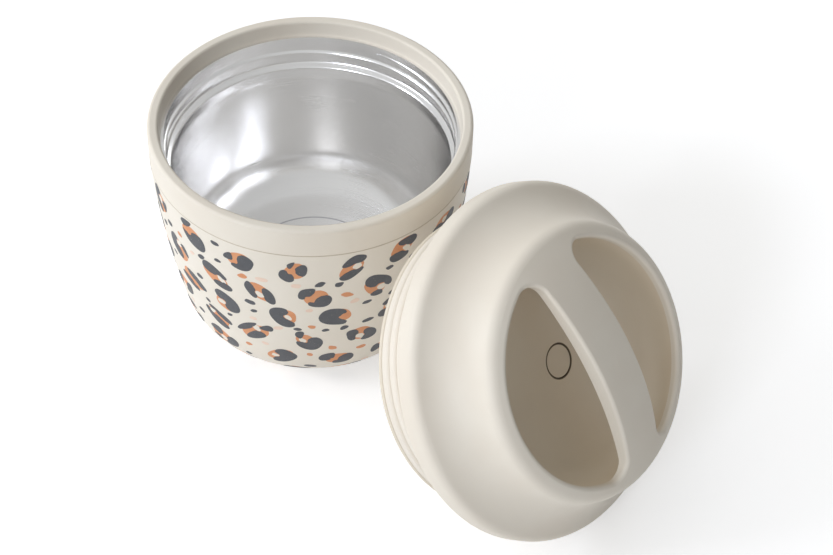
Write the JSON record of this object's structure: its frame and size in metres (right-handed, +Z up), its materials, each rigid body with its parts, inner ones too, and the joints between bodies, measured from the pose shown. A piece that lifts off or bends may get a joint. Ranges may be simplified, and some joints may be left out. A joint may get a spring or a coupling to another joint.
{
  "type": "insulated food jar",
  "caption": "Wide-mouth insulated food jar with a vacuum-walled steel body, and its screw-in lid set down tilted beside it; the domed lid has a grip bar over a finger recess and a vent button.",
  "frame": {"origin": "centre of the base pad's underside, on the jar's axis, on the surface the jar stands on", "axes": "+Z up the jar's axis; +X towards the lid, in the vertical plane of the lid's own axis; +Y to the left when looking along +X"},
  "size_m": [0.2066, 0.1289, 0.1024],
  "materials": {
    "moulded_plastic": "fine satin moulded polypropylene, warm off-white",
    "painted_shell": "satin powder coat, cream, with a leopard-spot pattern",
    "vessel_steel": "electro-polished stainless steel",
    "getter_metal": "sintered metal",
    "spring_steel": "drawn wire",
    "silicone": "matte silicone",
    "foam": "moulded expanded foam"
  },
  "bodies": {
    "jar": {"collar_ring": "moulded_plastic", "collar_gasket": "silicone", "outer_shell": "painted_shell", "inner_vessel": "vessel_steel", "base_plate": "vessel_steel", "vacuum_seal": "getter_metal", "getter": "getter_metal", "base_pad": "silicone"},
    "seal": {"seal_ring": "silicone"},
    "lid": {"lid_shell": "moulded_plastic", "recess_bowl": "moulded_plastic", "plug_body": "moulded_plastic", "plug_base": "moulded_plastic", "insulation_disc": "foam", "vent_spring": "spring_steel"},
    "vent": {"vent_button": "moulded_plastic", "vent_stem": "moulded_plastic", "vent_seal": "silicone", "vent_retainer": "moulded_plastic"}
  },
  "joints": [
    {"name": "lid_lift", "type": "slide", "parent": "jar", "child": "seal", "axis": [0.8296, 0, 0.5583], "range_m": [0, 0.15]},
    {"name": "lid_turn", "type": "hinge", "parent": "seal", "child": "lid", "pos_m": [0.10469, -0.01591, 0.05076], "axis": [0.8296, 0, 0.5583], "continuous": true},
    {"name": "vent_press", "type": "slide", "parent": "lid", "child": "vent", "axis": [-0.8296, 0, -0.5583], "range_m": [0, 0.0015], "stiffness_N_per_m": 300, "springref_m": -0.003, "deforming": ["vent_spring"]}
  ]
}
